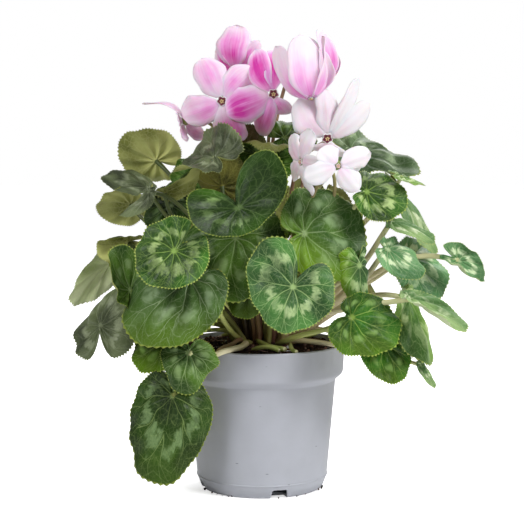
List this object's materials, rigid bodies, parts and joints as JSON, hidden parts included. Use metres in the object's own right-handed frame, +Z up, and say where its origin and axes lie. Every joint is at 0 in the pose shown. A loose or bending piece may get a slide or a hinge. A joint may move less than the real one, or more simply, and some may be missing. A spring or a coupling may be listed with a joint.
{
  "type": "potted cyclamen plant",
  "caption": "Flowering cyclamen in a round tapered plastic nursery pot, heart-shaped marbled leaves and upswept pink and white petals.",
  "frame": {"origin": "centre of the pot's base, on the surface it stands on", "axes": "+Z up; -Y towards the side with the lowest hanging leaf and the white flowers (the front); +X to the right seen from the front"},
  "size_m": [0.2995, 0.1891, 0.3339],
  "materials": {
    "pot_plastic": "satin lavender-grey moulded polypropylene",
    "potting_soil": "matt dark peat and bark",
    "corm_skin": "matt corky brown",
    "leaf_blade": "waxy dark green with silver-green marbling, pale olive underside, cream to pink-brown stalk",
    "petal_pink": "soft satin, magenta fading to pale pink rim",
    "petal_white": "soft satin, white flushed pink at the base"
  },
  "bodies": {
    "root": {"pot": "pot_plastic", "soil": "potting_soil", "corm": "corm_skin", "leaf_fold_centre": "leaf_blade", "leaf_heart_front": "leaf_blade", "leaf_bright_left": "leaf_blade", "leaf_broad_left": "leaf_blade", "leaf_broad_right": "leaf_blade", "leaf_broad_centre": "leaf_blade", "leaf_over_rim_right": "leaf_blade", "leaf_over_rim_left": "leaf_blade", "leaf_lowest": "leaf_blade", "leaf_under_left": "leaf_blade", "leaf_under_centre": "leaf_blade", "leaf_sliver_centre": "leaf_blade", "leaf_keel_right": "leaf_blade", "leaf_cup_left": "leaf_blade", "leaf_saddle_left": "leaf_blade", "leaf_far_left": "leaf_blade", "leaf_folded_left": "leaf_blade", "leaf_shoulder_left": "leaf_blade", "leaf_twist_dark": "leaf_blade", "leaf_twist_pale": "leaf_blade", "leaf_level_left": "leaf_blade", "leaf_olive_top": "leaf_blade", "leaf_gap_left": "leaf_blade", "leaf_silver_top": "leaf_blade", "leaf_funnel_top": "leaf_blade", "leaf_dark_top": "leaf_blade", "leaf_upright_top": "leaf_blade", "leaf_curled_top": "leaf_blade", "leaf_small_top": "leaf_blade", "leaf_shield_right": "leaf_blade", "leaf_bright_right": "leaf_blade", "leaf_tip_right": "leaf_blade", "leaf_slanted_right": "leaf_blade", "leaf_speckled_right": "leaf_blade", "leaf_silver_right": "leaf_blade", "leaf_behind_right": "leaf_blade", "leaf_far_right": "leaf_blade", "leaf_curled_right": "leaf_blade", "leaf_hanging_right": "leaf_blade", "leaf_low_right": "leaf_blade", "leaf_tail_right": "leaf_blade", "leaf_rear_1": "leaf_blade", "leaf_rear_2": "leaf_blade", "leaf_rear_3": "leaf_blade", "leaf_rear_4": "leaf_blade", "leaf_rear_5": "leaf_blade", "leaf_rear_6": "leaf_blade", "leaf_rear_7": "leaf_blade", "flower_centre": "petal_pink", "flower_left": "petal_pink", "flower_far_left": "petal_pink", "flower_top_left": "petal_pink", "flower_pale_centre": "petal_pink", "flower_top_right": "petal_pink", "flower_white_right": "petal_white", "flower_white_small": "petal_white", "flower_white_side": "petal_white"}
  },
  "joints": []
}
